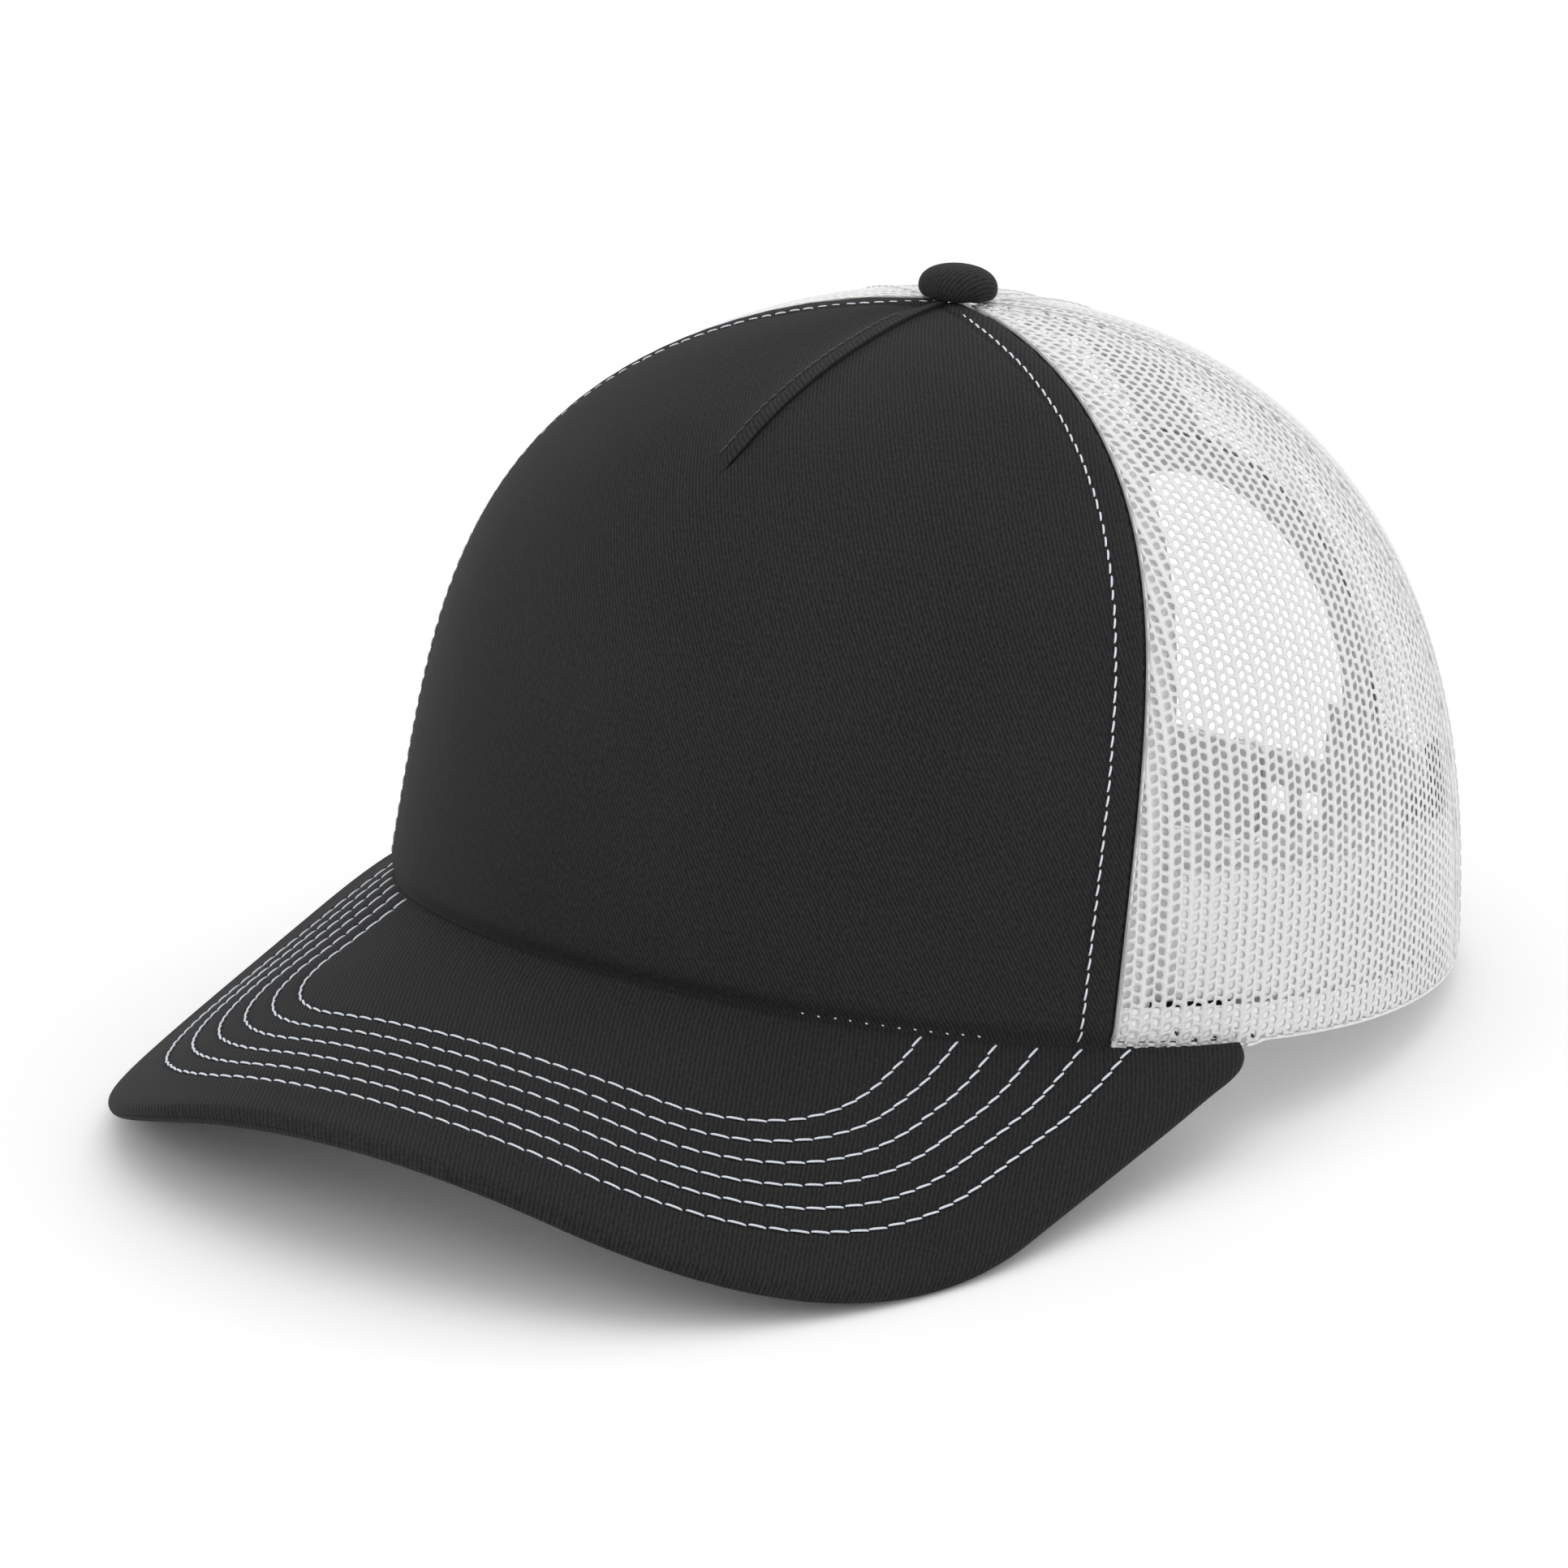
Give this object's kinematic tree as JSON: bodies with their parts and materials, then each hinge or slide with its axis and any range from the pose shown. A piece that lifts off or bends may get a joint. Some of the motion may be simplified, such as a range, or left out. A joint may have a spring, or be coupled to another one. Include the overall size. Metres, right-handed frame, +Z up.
{
  "type": "trucker cap",
  "caption": "Trucker cap with a stiff twill front, mesh side and back panels, a curved visor and an adjustable snap strap across an arched back opening.",
  "frame": {"origin": "on the table plane, under the middle of the cap's bounding box; the cap stands on the two front corners of its visor and on the back of its rim", "axes": "-Y towards the tip of the visor (front), +X towards the wearer's left, +Z up from the table; the rim plane is tipped back about X, front raised by 7.02 degrees"},
  "size_m": [0.1718, 0.2438, 0.1224],
  "materials": {
    "twill_black": "black cotton twill, matt",
    "mesh_white": "white polyester hexagonal mesh, slight sheen",
    "lining_white": "stiffened open-weave buckram",
    "tape_white": "woven seam tape",
    "sweatband_white": "cotton twill band",
    "foam_grey": "thin foam padding",
    "strap_white": "flexible moulded plastic, satin",
    "board_grey": "moulded visor board",
    "steel": "pressed steel"
  },
  "bodies": {
    "cap": {"front_panel": "twill_black", "front_liner": "lining_white", "side_mesh_left": "mesh_white", "side_mesh_right": "mesh_white", "back_mesh_left": "mesh_white", "back_mesh_right": "mesh_white", "seam_tape_front_left": "tape_white", "seam_tape_front_right": "tape_white", "seam_tape_side_left": "tape_white", "seam_tape_side_right": "tape_white", "seam_tape_back": "tape_white", "arch_binding": "tape_white", "visor_seam_allowance": "twill_black", "sweatband_foam": "foam_grey", "sweatband": "sweatband_white", "size_label": "twill_black", "strap_tab_left": "strap_white", "strap_tab_right": "strap_white", "visor_top_cover": "twill_black", "visor_board": "board_grey", "visor_under_cover": "twill_black", "button_cover": "twill_black", "button_shell": "steel", "button_rivet": "steel", "button_washer": "steel"},
    "strap_with_holes": {"snap_strap_holes": "strap_white"},
    "strap_with_pegs": {"snap_strap_pegs": "strap_white"}
  },
  "joints": [
    {"name": "holes_strap_bend", "type": "hinge", "parent": "cap", "child": "strap_with_holes", "pos_m": [0.02651, 0.11834, 0.01027], "axis": [0, -0.1222, -0.9925], "range_deg": [0, 70], "stiffness_Nm_per_rad": 0.02},
    {"name": "pegs_strap_bend", "type": "hinge", "parent": "cap", "child": "strap_with_pegs", "pos_m": [-0.02619, 0.11688, 0.01035], "axis": [0, -0.1222, -0.9925], "range_deg": [0, 25], "stiffness_Nm_per_rad": 0.02}
  ]
}
